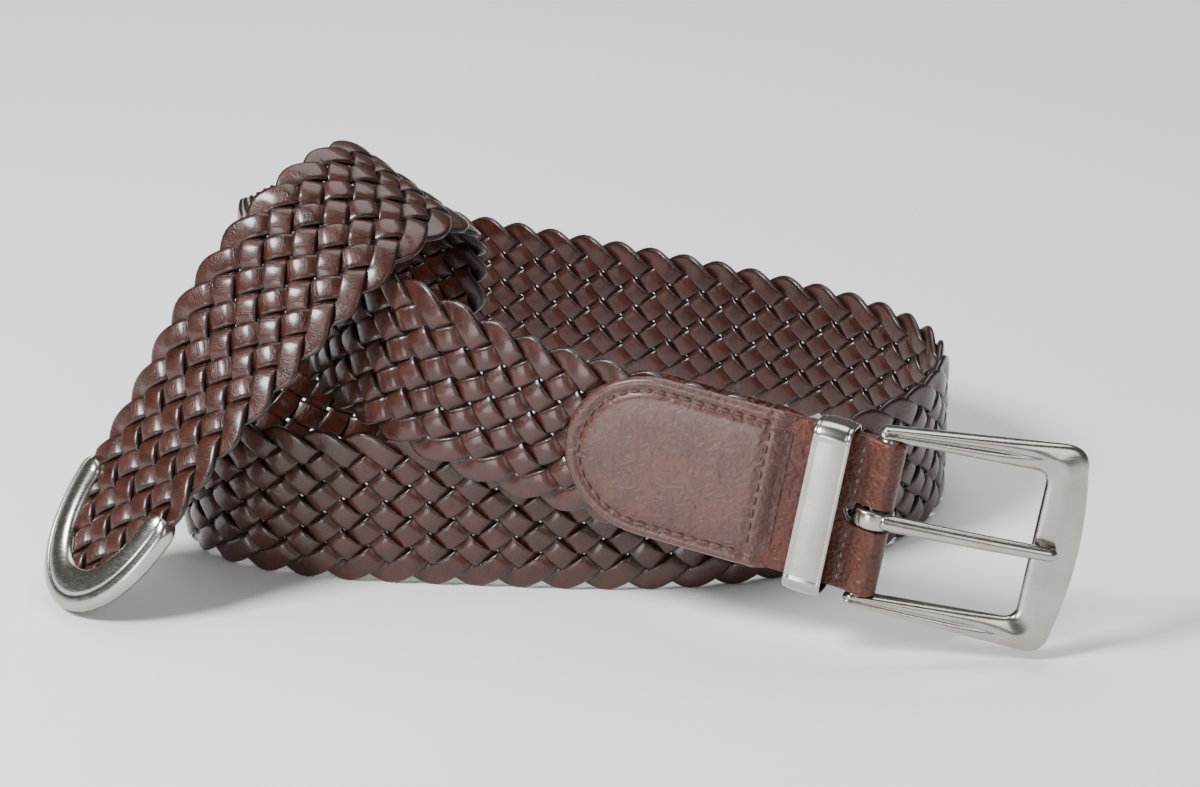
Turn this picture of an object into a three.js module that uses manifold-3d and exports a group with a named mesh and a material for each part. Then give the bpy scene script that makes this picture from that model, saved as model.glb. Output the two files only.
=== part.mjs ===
// A braided leather belt, loosely coiled and lying on a table.
// Millimetres, +Z up. The belt stands on its lower edge, its tip end laid over the coil.

import * as THREE from 'three';
import { mergeVertices } from 'three/addons/utils/BufferGeometryUtils.js';
import Module from 'manifold-3d';

const wasm = await Module();
wasm.setup();

// Overall sizes of the coil that the belt lies in
const coilWidth = 180;
const coilDepth = 170;

// Braided band
const bandWidth = 35.4;
const bandThickness = 3.8;
const bandEdgeThickness = 1.6;
const bandEdgeBevel = 2.4;
const weavePitch = 9.65;
const scallopDepth = 0.9;
const stepsPerPitch = 4;

// Gap left between pieces that touch
const clearance = 0.3;

// Leather tab that joins the braid to the buckle
const leatherThickness = 1.7;
const billetWidth = 34.2;
const billetLength = 23.7;
const patchLength = 45;
const patchLeather = 1.3;
const patchTaper = 4;
const patchRoundLength = 20;
const slotWidth = 5.2;
const slotReach = 6.2;

// Metal keeper round the tab
const keeperWidth = 8.3;
const keeperWall = 0.9;
const keeperHeight = 36.6;
const keeperDepth = 8.4;
const keeperCorner = 1.6;
const keeperPlace = 10.9;

// Buckle frame and its bar
const buckleLength = 44.2;
const buckleBarHeight = 40.2;
const buckleFarHeight = 46.8;
const buckleTail = 2.6;
const buckleThickness = 4.4;
const buckleBevel = 1;
const buckleBow = 1.8;
const buckleCorner = 5.5;
const windowLength = 34.2;
const windowFarHeight = 33.4;
const windowCorner = 3;
const barRadius = 2;
const buckleTurn = 17;

// Prong
const prongLength = 39.4;
const prongRootRadius = 1.8;
const prongEndRadius = 1.5;
const prongEyeRadius = 4.4;
const prongEyeWidth = 4;

// Metal tip
const tipLength = 30;
const tipWidth = 37;
const tipThickness = 6.2;
const tipRim = 7.6;
const tipWall = 1.2;
const tipBevel = 1;
const tipRoundness = 2.2;
const tipSteps = 16;
const braidStub = 0.1;

const roundSides = 24;

// Each row is one section of the belt's middle line, from the buckle's bar to the tip.
// x is a share of the coil's width, y of its depth and z of the band's width.
// acrossX, acrossY and acrossZ point from the band's lower edge to its upper edge.
const sectionColumns = ['x', 'y', 'z', 'acrossX', 'acrossY', 'acrossZ'];
const sectionRows = [
  // buckle end, rising over the front strip
  [0.32, -0.17, 0.90, 0.19, 0.08, 0.98],
  [0.21, -0.13, 0.99, 0.19, 0.08, 0.98],
  [0.10, -0.09, 1.08, 0.19, 0.08, 0.98],
  [-0.01, -0.05, 1.17, 0.19, 0.08, 0.98],
  [-0.12, -0.01, 1.26, 0.19, 0.08, 0.98],
  [-0.21, 0.02, 1.46, 0.24, 0.10, 0.96],
  [-0.285, 0.08, 1.57, 0.26, 0.10, 0.96],
  [-0.34, 0.175, 1.57, 0.20, 0.00, 0.97],
  [-0.375, 0.29, 1.57, 0.12, -0.08, 0.98],
  [-0.40, 0.42, 1.52, 0.05, -0.15, 0.98],
  [-0.43, 0.57, 1.26, 0.02, -0.15, 0.98],
  [-0.47, 0.72, 0.92, 0, -0.10, 1],
  // curl at the back left
  [-0.515, 0.865, 0.65, 0, 0, 1],
  [-0.485, 0.975, 0.57, 0, 0, 1],
  [-0.37, 0.99, 0.53, 0, 0, 1],
  // back strip
  [-0.22, 0.93, 0.50, 0, 0, 1],
  [-0.08, 0.85, 0.50, 0, 0, 1],
  [0.08, 0.755, 0.50, 0, 0, 1],
  [0.225, 0.66, 0.50, 0, 0, 1],
  [0.345, 0.57, 0.50, 0, 0, 1],
  // curl at the right
  [0.425, 0.475, 0.50, 0, 0, 1],
  [0.455, 0.355, 0.50, 0, 0, 1],
  [0.42, 0.23, 0.50, 0, 0, 1],
  [0.335, 0.12, 0.50, 0, 0, 1],
  // front strip
  [0.22, 0.05, 0.50, 0, 0, 1],
  [0.10, 0.02, 0.50, 0, 0, 1],
  [-0.03, 0.02, 0.50, 0, 0, 1],
  [-0.165, 0.035, 0.50, 0, 0, 1],
  [-0.30, 0.045, 0.50, 0, 0, 1],
  [-0.425, 0.075, 0.50, 0, 0, 1],
  // curl at the front left, leaning as it slips under the first strip
  [-0.52, 0.145, 0.51, -0.08, 0.03, 1],
  [-0.55, 0.25, 0.50, -0.20, 0.10, 0.97],
  [-0.505, 0.34, 0.48, -0.28, 0.18, 0.93],
  [-0.42, 0.385, 0.47, -0.38, 0.23, 0.88],
  // inside the coil, up to the crest
  [-0.335, 0.395, 0.56, -0.50, 0.26, 0.82],
  [-0.275, 0.40, 0.82, -0.62, 0.28, 0.73],
  [-0.245, 0.40, 1.20, -0.72, 0.26, 0.64],
  [-0.23, 0.375, 1.64, -0.78, 0.24, 0.58],
  [-0.225, 0.325, 2.04, -0.80, 0.22, 0.56],
  [-0.235, 0.26, 2.29, -0.80, 0.24, 0.52],
  // over the first strip and down to the tip
  [-0.265, 0.19, 2.38, -0.84, 0.28, 0.40],
  [-0.315, 0.115, 2.31, -0.84, 0.36, 0.34],
  [-0.38, 0.075, 2.01, -0.74, 0.52, 0.42],
  [-0.45, 0.055, 1.58, -0.68, 0.62, 0.38],
  [-0.52, 0.025, 1.06, -0.56, 0.81, 0.16],
  [-0.59, -0.01, 0.55, -0.56, 0.81, 0.16],
  [-0.66, -0.045, 0.04, -0.56, 0.81, 0.16],
];

const leatherMaterial = new THREE.MeshStandardMaterial({ color: 0x4a2a22, roughness: 0.55, metalness: 0 });
const tabMaterial = new THREE.MeshStandardMaterial({ color: 0x54302a, roughness: 0.45, metalness: 0 });
const metalMaterial = new THREE.MeshStandardMaterial({ color: 0xb9b1a8, roughness: 0.32, metalness: 1 });

// Rows turned into objects with the column names, lengths in millimetres
function sectionsInMillimetres() {
  const scales = { x: coilWidth, y: coilDepth, z: bandWidth };
  return sectionRows.map((row) => {
    const section = {};
    sectionColumns.forEach((name, column) => {
      section[name] = row[column] * (scales[name] ?? 1);
    });
    return section;
  });
}

// Smooth curve through named columns: a uniform cubic B-spline that ends on its end rows
class SectionCurve extends THREE.Curve {
  constructor(sections, names) {
    super();
    const rows = sections.map((section) => new THREE.Vector3(...names.map((name) => section[name])));
    const last = rows.length - 1;
    const before = rows[0].clone().multiplyScalar(2).sub(rows[1]);
    const after = rows[last].clone().multiplyScalar(2).sub(rows[last - 1]);
    this.rows = [before, ...rows, after];
    this.spans = last;
  }

  getPoint(t, target = new THREE.Vector3()) {
    const along = Math.min(Math.max(t, 0), 1) * this.spans;
    const first = Math.min(Math.floor(along), this.spans - 1);
    const f = along - first;
    const weights = [
      (1 - f) ** 3 / 6,
      (3 * f ** 3 - 6 * f ** 2 + 4) / 6,
      (-3 * f ** 3 + 3 * f ** 2 + 3 * f + 1) / 6,
      f ** 3 / 6,
    ];
    target.set(0, 0, 0);
    weights.forEach((weight, i) => target.addScaledVector(this.rows[first + i], weight));
    return target;
  }
}

const sections = sectionsInMillimetres();
const middleLine = new SectionCurve(sections, ['x', 'y', 'z']);
middleLine.arcLengthDivisions = 4000;
const acrossLine = new SectionCurve(sections, ['acrossX', 'acrossY', 'acrossZ']);
const strapLength = middleLine.getLength();

// Local axes of the strap at a distance from the bar:
// x across it towards its upper edge, y along it towards the tip, z out of its outer face
function strapFrame(distance) {
  const t = middleLine.getUtoTmapping(0, Math.min(Math.max(distance, 0), strapLength));
  const origin = middleLine.getPoint(t);
  const along = middleLine.getTangent(t);
  const across = acrossLine.getPoint(t);
  across.addScaledVector(along, -across.dot(along)).normalize();
  const outward = new THREE.Vector3().crossVectors(across, along);
  return new THREE.Matrix4().makeBasis(across, along, outward).setPosition(origin);
}

function solidFrom(geometry) {
  const bare = geometry.clone();
  bare.deleteAttribute('normal');
  bare.deleteAttribute('uv');
  const merged = mergeVertices(bare, 1e-4);
  const mesh = new wasm.Mesh({
    numProp: 3,
    vertProperties: new Float32Array(merged.attributes.position.array),
    triVerts: new Uint32Array(merged.index.array),
  });
  return new wasm.Manifold(mesh);
}

function geometryFrom(solid) {
  const mesh = solid.getMesh();
  const geometry = new THREE.BufferGeometry();
  geometry.setAttribute('position', new THREE.BufferAttribute(mesh.vertProperties.slice(), 3));
  geometry.setIndex(new THREE.BufferAttribute(mesh.triVerts.slice(), 1));
  return geometry;
}

function pieceOf(name, geometry, material) {
  const faceted = geometry.index ? geometry.toNonIndexed() : geometry;
  faceted.computeVertexNormals();
  const mesh = new THREE.Mesh(faceted, material);
  mesh.name = name;
  return mesh;
}

function shapeOf(points) {
  return new THREE.Shape(points.map(([x, y]) => new THREE.Vector2(x, y)));
}

// An outline seen from the outer face, x across the strap and y along it, made thick about z = 0
function plateFrom(shape, thickness, bevel = 0) {
  const geometry = new THREE.ExtrudeGeometry(shape, {
    depth: thickness - 2 * bevel,
    bevelEnabled: bevel > 0,
    bevelThickness: bevel,
    bevelSize: bevel,
    bevelOffset: -bevel,
    bevelSegments: 2,
    curveSegments: roundSides / 4,
  });
  return geometry.translate(0, 0, bevel - thickness / 2);
}

// An outline seen from the strap's edge, drawn along and out of it, made wide about x = 0
function crossPiece(shape, width) {
  const geometry = new THREE.ExtrudeGeometry(shape, {
    depth: width,
    bevelEnabled: false,
    curveSegments: roundSides / 2,
  });
  geometry.translate(0, 0, -width / 2);
  const turned = new THREE.Matrix4().makeBasis(
    new THREE.Vector3(0, 1, 0),
    new THREE.Vector3(0, 0, 1),
    new THREE.Vector3(1, 0, 0),
  );
  return geometry.applyMatrix4(turned);
}

// Half the width of the tip's outline, set in from its edge, at a distance from its open end
function tipHalfWidth(inset, fromMouth) {
  const share = Math.min(Math.max(fromMouth / (tipLength - inset), 0), 1);
  return (tipWidth / 2 - inset) * Math.sqrt(1 - share ** tipRoundness);
}

const braidStart = billetLength + clearance;
const braidEnd = strapLength - tipWall - clearance;
const tipMouth = strapLength - tipLength;

// Half the width of the braid: scalloped edges, drawn in where the metal tip clasps it
function braidHalfWidth(distance, side) {
  const turn = (2 * Math.PI * distance) / weavePitch + (side > 0 ? 0 : Math.PI);
  const scalloped = bandWidth / 2 - (scallopDepth / 2) * (1 - Math.cos(turn));
  if (distance < tipMouth - weavePitch / stepsPerPitch) {
    return scalloped;
  }
  return Math.min(scalloped, tipHalfWidth(tipWall + clearance, distance - tipMouth));
}

// The braided band, carried along the middle line as rings of eight points
function makeBraid() {
  const spacing = weavePitch / stepsPerPitch;
  const regular = Math.floor((tipMouth - braidStart) / spacing);
  const distances = [];
  for (let i = 0; i <= regular; i += 1) {
    distances.push(braidStart + i * spacing);
  }
  const lastRegular = distances[distances.length - 1];
  for (let i = 1; i <= tipSteps; i += 1) {
    const share = Math.sin((i / tipSteps) * (Math.PI / 2));
    distances.push(lastRegular + share * (braidEnd - braidStub - lastRegular));
  }
  const ringSize = 8;
  const positions = [];
  distances.forEach((distance) => {
    const frame = strapFrame(distance);
    const upper = braidHalfWidth(distance, 1);
    const lower = -braidHalfWidth(distance, -1);
    const face = bandThickness / 2;
    const edge = bandEdgeThickness / 2;
    const upperBevel = Math.min(bandEdgeBevel, upper / 2);
    const lowerBevel = Math.min(bandEdgeBevel, -lower / 2);
    const ring = [
      [upper, -edge],
      [upper, edge],
      [upper - upperBevel, face],
      [lower + lowerBevel, face],
      [lower, edge],
      [lower, -edge],
      [lower + lowerBevel, -face],
      [upper - upperBevel, -face],
    ];
    ring.forEach(([x, z]) => {
      const point = new THREE.Vector3(x, 0, z).applyMatrix4(frame);
      positions.push(point.x, point.y, point.z);
    });
  });
  const indices = [];
  const rings = distances.length;
  for (let i = 0; i < rings - 1; i += 1) {
    for (let j = 0; j < ringSize; j += 1) {
      const a = i * ringSize + j;
      const b = i * ringSize + ((j + 1) % ringSize);
      indices.push(a, a + ringSize, b);
      indices.push(b, a + ringSize, b + ringSize);
    }
  }
  const lastRing = (rings - 1) * ringSize;
  for (let j = 1; j < ringSize - 1; j += 1) {
    indices.push(0, j, j + 1);
    indices.push(lastRing, lastRing + j + 1, lastRing + j);
  }
  const geometry = new THREE.BufferGeometry();
  geometry.setAttribute('position', new THREE.Float32BufferAttribute(positions, 3));
  geometry.setIndex(indices);
  return pieceOf('braid', geometry, leatherMaterial);
}

// The leather tab: a loop round the bar, a double billet and a patch on each face of the braid
function makeTab() {
  const loopInner = barRadius + clearance;
  const loopOuter = loopInner + leatherThickness;
  const meet = Math.sqrt(loopOuter ** 2 - leatherThickness ** 2);
  const meetTurn = Math.atan2(leatherThickness, meet);
  const patchEnd = billetLength + patchLength;
  const inner = bandThickness / 2 + clearance;
  const outer = inner + patchLeather;

  const side = new THREE.Shape();
  side.moveTo(patchEnd, inner);
  side.lineTo(patchEnd, outer);
  side.lineTo(billetLength, outer);
  side.lineTo(billetLength - patchTaper, leatherThickness);
  side.lineTo(meet, leatherThickness);
  side.absarc(0, 0, loopOuter, meetTurn, 2 * Math.PI - meetTurn, false);
  side.lineTo(billetLength - patchTaper, -leatherThickness);
  side.lineTo(billetLength, -outer);
  side.lineTo(patchEnd, -outer);
  side.lineTo(patchEnd, -inner);
  side.lineTo(billetLength, -inner);
  side.lineTo(billetLength, inner);
  const eye = new THREE.Path();
  eye.absarc(0, 0, loopInner, 0, 2 * Math.PI, true);
  side.holes.push(eye);

  const front = new THREE.Shape();
  const half = billetWidth / 2;
  const patchHalf = bandWidth / 2;
  front.moveTo(half, -loopOuter - 1);
  front.lineTo(half, billetLength - patchTaper);
  front.lineTo(patchHalf, billetLength);
  front.lineTo(patchHalf, patchEnd - patchRoundLength);
  front.absellipse(0, patchEnd - patchRoundLength, patchHalf, patchRoundLength, 0, Math.PI, false, 0);
  front.lineTo(-patchHalf, billetLength);
  front.lineTo(-half, billetLength - patchTaper);
  front.lineTo(-half, -loopOuter - 1);

  const slot = new THREE.Shape();
  slot.moveTo(-slotWidth / 2, -loopOuter - 2);
  slot.lineTo(slotWidth / 2, -loopOuter - 2);
  slot.absarc(0, slotReach - slotWidth / 2, slotWidth / 2, 0, Math.PI, false);

  const profile = solidFrom(crossPiece(side, bandWidth + 2));
  const outline = solidFrom(plateFrom(front, 4 * outer));
  const cut = solidFrom(plateFrom(slot, 4 * outer));
  const tab = pieceOf('tab', geometryFrom(profile.intersect(outline).subtract(cut)), tabMaterial);
  tab.applyMatrix4(strapFrame(0));
  return tab;
}

// A rectangle with round corners, drawn from its centre
function roundedRectangle(shape, width, height, centreY, radius) {
  const x = width / 2 - radius;
  const y = height / 2 - radius;
  shape.absarc(x, centreY + y, radius, 0, Math.PI / 2, false);
  shape.absarc(-x, centreY + y, radius, Math.PI / 2, Math.PI, false);
  shape.absarc(-x, centreY - y, radius, Math.PI, 1.5 * Math.PI, false);
  shape.absarc(x, centreY - y, radius, 1.5 * Math.PI, 2 * Math.PI, false);
  shape.closePath();
  return shape;
}

// The keeper: a metal loop round the billet with room in front of it for the belt's end
function makeKeeper() {
  const centre = keeperDepth / 2 - leatherThickness - clearance;
  const band = new THREE.Shape();
  roundedRectangle(band, keeperHeight + 2 * keeperWall, keeperDepth + 2 * keeperWall, centre,
    keeperCorner + keeperWall);
  band.holes.push(roundedRectangle(new THREE.Path(), keeperHeight, keeperDepth, centre, keeperCorner));
  const geometry = new THREE.ExtrudeGeometry(band, {
    depth: keeperWidth,
    bevelEnabled: false,
    curveSegments: roundSides / 4,
  });
  geometry.translate(0, 0, -keeperWidth / 2).rotateX(Math.PI / 2);
  const keeper = pieceOf('keeper', geometry, metalMaterial);
  keeper.applyMatrix4(strapFrame(keeperPlace));
  return keeper;
}

// The buckle frame: two flared rails, a broad bowed far end and the round bar
function makeBuckleFrame() {
  const barHalf = buckleBarHeight / 2;
  const farHalf = buckleFarHeight / 2;
  const windowBarHalf = billetWidth / 2 + clearance;
  const windowFarHalf = windowFarHeight / 2;
  const shoulder = buckleLength - buckleBow;

  const outline = new THREE.Shape();
  outline.moveTo(barHalf, buckleTail);
  outline.lineTo(windowBarHalf, buckleTail);
  outline.lineTo(windowFarHalf, windowCorner - windowLength);
  outline.quadraticCurveTo(windowFarHalf, -windowLength, windowFarHalf - windowCorner, -windowLength);
  outline.lineTo(windowCorner - windowFarHalf, -windowLength);
  outline.quadraticCurveTo(-windowFarHalf, -windowLength, -windowFarHalf, windowCorner - windowLength);
  outline.lineTo(-windowBarHalf, buckleTail);
  outline.lineTo(-barHalf, buckleTail);
  outline.lineTo(-farHalf, buckleCorner - shoulder);
  outline.quadraticCurveTo(-farHalf, -shoulder, buckleCorner - farHalf, -shoulder);
  outline.quadraticCurveTo(0, -buckleLength - buckleBow, farHalf - buckleCorner, -shoulder);
  outline.quadraticCurveTo(farHalf, -shoulder, farHalf, buckleCorner - shoulder);
  outline.closePath();

  const bar = new THREE.CylinderGeometry(barRadius, barRadius, buckleBarHeight - 2, roundSides);
  bar.rotateZ(Math.PI / 2);
  const frame = solidFrom(plateFrom(outline, buckleThickness, buckleBevel)).add(solidFrom(bar));
  return pieceOf('buckle_frame', geometryFrom(frame), metalMaterial);
}

// The prong: an eye round the bar and a round rod that rests on the far end of the frame
function makeProng() {
  const eyeShape = new THREE.Shape();
  eyeShape.absarc(0, 0, prongEyeRadius, 0, 2 * Math.PI, false);
  const hole = new THREE.Path();
  hole.absarc(0, 0, barRadius + clearance, 0, 2 * Math.PI, true);
  eyeShape.holes.push(hole);
  const eye = solidFrom(crossPiece(eyeShape, prongEyeWidth));

  const rodStart = barRadius + clearance + 0.5;
  const rodLength = prongLength - rodStart;
  const profile = [
    new THREE.Vector2(0, 0),
    new THREE.Vector2(prongRootRadius, 0),
    new THREE.Vector2(prongEndRadius, rodLength - prongEndRadius),
  ];
  const endSteps = 3;
  for (let i = 1; i <= endSteps; i += 1) {
    const turn = (i / endSteps) * (Math.PI / 2);
    const radius = i === endSteps ? 0 : prongEndRadius * Math.cos(turn);
    profile.push(new THREE.Vector2(radius, rodLength - prongEndRadius + prongEndRadius * Math.sin(turn)));
  }
  const rod = new THREE.LatheGeometry(profile, roundSides / 2);
  const rootHeight = prongEyeRadius - prongRootRadius;
  const restHeight = buckleThickness / 2 + clearance + prongEndRadius;
  const rise = Math.atan2(restHeight - rootHeight, windowLength - rodStart);
  rod.rotateZ(Math.PI).rotateX(-rise).translate(0, -rodStart, rootHeight);
  return pieceOf('prong', geometryFrom(eye.add(solidFrom(rod))), metalMaterial);
}

// Outline of the tip set in from its edge, from its open end to its apex
function tipOutline(inset, openEnd) {
  const right = [];
  for (let i = 0; i <= tipSteps; i += 1) {
    const fromMouth = (tipLength - inset) * Math.sin((i / tipSteps) * (Math.PI / 2));
    right.push([tipHalfWidth(inset, fromMouth), fromMouth]);
  }
  const left = right.slice(0, -1).reverse().map(([x, y]) => [-x, y]);
  const half = tipWidth / 2 - inset;
  const mouth = openEnd < 0 ? [[-half, openEnd], [half, openEnd]] : [];
  return shapeOf([...right, ...left, ...mouth]);
}

// The metal tip: a rounded frame with a pocket that clasps the braid's end
function makeTip() {
  const body = solidFrom(plateFrom(tipOutline(0, 0), tipThickness, tipBevel));
  const pocket = solidFrom(plateFrom(tipOutline(tipWall, -tipRim), bandThickness + 2 * clearance));
  const opening = solidFrom(plateFrom(tipOutline(tipRim, -tipRim), 2 * tipThickness));
  const tip = pieceOf('tip', geometryFrom(body.subtract(pocket).subtract(opening)), metalMaterial);
  tip.applyMatrix4(new THREE.Matrix4().makeTranslation(0, -tipLength, 0));
  tip.applyMatrix4(strapFrame(strapLength));
  return tip;
}

const belt = new THREE.Group();
belt.add(makeBraid());
belt.add(makeTab());
belt.add(makeKeeper());
belt.add(makeTip());

const buckle = new THREE.Group();
buckle.add(makeBuckleFrame());
buckle.add(makeProng());
buckle.rotateX(THREE.MathUtils.degToRad(buckleTurn));
buckle.applyMatrix4(strapFrame(0));
belt.add(buckle);

// The origin is under the middle of the belt, on the table
belt.updateMatrixWorld(true);
const box = new THREE.Box3().setFromObject(belt, true);
const centre = box.getCenter(new THREE.Vector3());
belt.position.set(-centre.x, -centre.y, -box.min.z);
belt.updateMatrixWorld(true);

export default belt;
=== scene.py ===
"""The looks of a braided leather belt: woven strands, stitched tab, satin metal fittings, floor, light."""

from types import SimpleNamespace

import bpy
import numpy as np
from bpy.props import FloatProperty, FloatVectorProperty, IntProperty, PointerProperty
from bpy.types import Operator, Panel, PropertyGroup
from mathutils import Matrix, Vector


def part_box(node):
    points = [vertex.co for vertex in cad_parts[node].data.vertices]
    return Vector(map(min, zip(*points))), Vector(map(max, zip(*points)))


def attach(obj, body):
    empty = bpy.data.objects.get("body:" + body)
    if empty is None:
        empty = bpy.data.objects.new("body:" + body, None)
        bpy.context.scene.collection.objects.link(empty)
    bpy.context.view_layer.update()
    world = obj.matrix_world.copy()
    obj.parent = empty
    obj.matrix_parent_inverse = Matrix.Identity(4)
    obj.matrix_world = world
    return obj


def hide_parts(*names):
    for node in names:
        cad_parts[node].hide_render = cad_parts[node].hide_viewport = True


bl_info = {
    "name": "Braided belt",
    "version": (1, 0, 0),
    "blender": (4, 5, 0),
    "location": "View3D > Sidebar > Belt",
    "description": "Weaves the strap of a coiled leather belt and finishes its tab and metal fittings",
    "category": "Add Mesh",
}

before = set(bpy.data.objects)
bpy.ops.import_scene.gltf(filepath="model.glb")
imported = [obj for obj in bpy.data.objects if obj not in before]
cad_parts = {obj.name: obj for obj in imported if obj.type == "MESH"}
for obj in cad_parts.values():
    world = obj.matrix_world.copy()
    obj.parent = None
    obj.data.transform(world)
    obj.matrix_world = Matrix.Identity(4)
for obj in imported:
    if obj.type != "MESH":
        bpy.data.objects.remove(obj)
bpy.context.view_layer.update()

# Lengths are in millimetres, as in the part's source, and become metres when a mesh is made
METRES = 0.001

# Sizes that the strap's solids follow
COIL_WIDTH = 180.0
COIL_DEPTH = 170.0
BAND_WIDTH = 35.4
BAND_THICKNESS = 3.8
WEAVE_PITCH = 9.65
CLEARANCE = 0.3
LEATHER = 1.7
BILLET_WIDTH = 34.2
BILLET_LENGTH = 23.7
PATCH_LENGTH = 45.0
PATCH_LEATHER = 1.3
PATCH_ROUND = 20.0
SLOT_WIDTH = 5.2
SLOT_REACH = 6.2
KEEPER_WIDTH = 8.3
KEEPER_WALL = 0.9
KEEPER_HEIGHT = 36.6
KEEPER_DEPTH = 8.4
KEEPER_PLACE = 10.9
BUCKLE_LENGTH = 44.2
BUCKLE_BAR_HEIGHT = 40.2
BUCKLE_FAR_HEIGHT = 46.8
BUCKLE_TAIL = 2.6
BUCKLE_THICKNESS = 4.4
BUCKLE_BOW = 1.8
BUCKLE_CORNER = 5.5
BUCKLE_TURN = 17.0
WINDOW_LENGTH = 34.2
WINDOW_FAR_HEIGHT = 33.4
WINDOW_CORNER = 3.0
BAR_RADIUS = 2.0
PRONG_LENGTH = 39.4
PRONG_ROOT = 1.8
PRONG_END = 1.5
PRONG_EYE = 4.4
PRONG_EYE_WIDTH = 4.0
TIP_LENGTH = 30.0
TIP_WIDTH = 37.0
TIP_THICKNESS = 6.2
TIP_RIM = 7.6
TIP_WALL = 1.2
TIP_ROUNDNESS = 2.2
PATCH_ROUND_START = BILLET_LENGTH + PATCH_LENGTH - PATCH_ROUND

# Sizes of the finer shapes that only this script makes
STRAND_GAP = 1.0
CROSSING_FIRMNESS = 1.8
SCALLOP = 0.8
CREASE_UNIT = 5.0
PATCH_LAP = 4.0
PLY_GAP = 0.02
SEAM_PLACE = BILLET_LENGTH + 1.2
KEEPER_BEND = 2.3
ROUND_END_LEAST = 0.05

# Sections of the middle line from the buckle's bar to the tip, as in the part's source:
# shares of the coil's width and depth and the band's width, then the way across the band
SECTIONS = np.array([
    (0.32, -0.17, 0.90, 0.19, 0.08, 0.98),
    (0.21, -0.13, 0.99, 0.19, 0.08, 0.98),
    (0.10, -0.09, 1.08, 0.19, 0.08, 0.98),
    (-0.01, -0.05, 1.17, 0.19, 0.08, 0.98),
    (-0.12, -0.01, 1.26, 0.19, 0.08, 0.98),
    (-0.21, 0.02, 1.46, 0.24, 0.10, 0.96),
    (-0.285, 0.08, 1.57, 0.26, 0.10, 0.96),
    (-0.34, 0.175, 1.57, 0.20, 0.00, 0.97),
    (-0.375, 0.29, 1.57, 0.12, -0.08, 0.98),
    (-0.40, 0.42, 1.52, 0.05, -0.15, 0.98),
    (-0.43, 0.57, 1.26, 0.02, -0.15, 0.98),
    (-0.47, 0.72, 0.92, 0, -0.10, 1),
    (-0.515, 0.865, 0.65, 0, 0, 1),
    (-0.485, 0.975, 0.57, 0, 0, 1),
    (-0.37, 0.99, 0.53, 0, 0, 1),
    (-0.22, 0.93, 0.50, 0, 0, 1),
    (-0.08, 0.85, 0.50, 0, 0, 1),
    (0.08, 0.755, 0.50, 0, 0, 1),
    (0.225, 0.66, 0.50, 0, 0, 1),
    (0.345, 0.57, 0.50, 0, 0, 1),
    (0.425, 0.475, 0.50, 0, 0, 1),
    (0.455, 0.355, 0.50, 0, 0, 1),
    (0.42, 0.23, 0.50, 0, 0, 1),
    (0.335, 0.12, 0.50, 0, 0, 1),
    (0.22, 0.05, 0.50, 0, 0, 1),
    (0.10, 0.02, 0.50, 0, 0, 1),
    (-0.03, 0.02, 0.50, 0, 0, 1),
    (-0.165, 0.035, 0.50, 0, 0, 1),
    (-0.30, 0.045, 0.50, 0, 0, 1),
    (-0.425, 0.075, 0.50, 0, 0, 1),
    (-0.52, 0.145, 0.51, -0.08, 0.03, 1),
    (-0.55, 0.25, 0.50, -0.20, 0.10, 0.97),
    (-0.505, 0.34, 0.48, -0.28, 0.18, 0.93),
    (-0.42, 0.385, 0.47, -0.38, 0.23, 0.88),
    (-0.335, 0.395, 0.56, -0.50, 0.26, 0.82),
    (-0.275, 0.40, 0.82, -0.62, 0.28, 0.73),
    (-0.245, 0.40, 1.20, -0.72, 0.26, 0.64),
    (-0.23, 0.375, 1.64, -0.78, 0.24, 0.58),
    (-0.225, 0.325, 2.04, -0.80, 0.22, 0.56),
    (-0.235, 0.26, 2.29, -0.80, 0.24, 0.52),
    (-0.265, 0.19, 2.38, -0.84, 0.28, 0.40),
    (-0.315, 0.115, 2.31, -0.84, 0.36, 0.34),
    (-0.38, 0.075, 2.01, -0.74, 0.52, 0.42),
    (-0.45, 0.055, 1.58, -0.68, 0.62, 0.38),
    (-0.52, 0.025, 1.06, -0.56, 0.81, 0.16),
    (-0.59, -0.01, 0.55, -0.56, 0.81, 0.16),
    (-0.66, -0.045, 0.04, -0.56, 0.81, 0.16),
])
SCALES = np.array([COIL_WIDTH, COIL_DEPTH, BAND_WIDTH, 1, 1, 1])

# Profiles of the cast rims: shares across from the inner edge, then heights as shares of half
# the thickness
RIM_SHARE = np.array([
    0, 0.02, 0.06, 0.14, 0.25, 0.38, 0.44, 0.50,
    0.56, 0.62, 0.75, 0.86, 0.94, 0.98, 1,
])
RAIL_HEIGHT = np.array([
    0.30, 0.60, 0.80, 0.93, 1.00, 0.96, 0.84, 0.62,
    0.78, 0.88, 0.92, 0.82, 0.64, 0.42, 0.15,
])
FAR_HEIGHT = np.array([
    0.20, 0.42, 0.55, 0.66, 0.78, 0.91, 0.97, 1.00,
    0.96, 0.90, 0.76, 0.64, 0.52, 0.34, 0.10,
])
TIP_SHARE = np.array([
    0, 0.02, 0.07, 0.15, 0.26, 0.38, 0.50, 0.60,
    0.67, 0.70, 0.73, 0.76, 0.85, 0.93, 0.98, 1,
])
TIP_HEIGHT = np.array([
    0.56, 0.68, 0.82, 0.93, 1.00, 1.00, 0.95, 0.87,
    0.81, 0.64, 0.78, 0.76, 0.68, 0.56, 0.36, 0.12,
])


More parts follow.
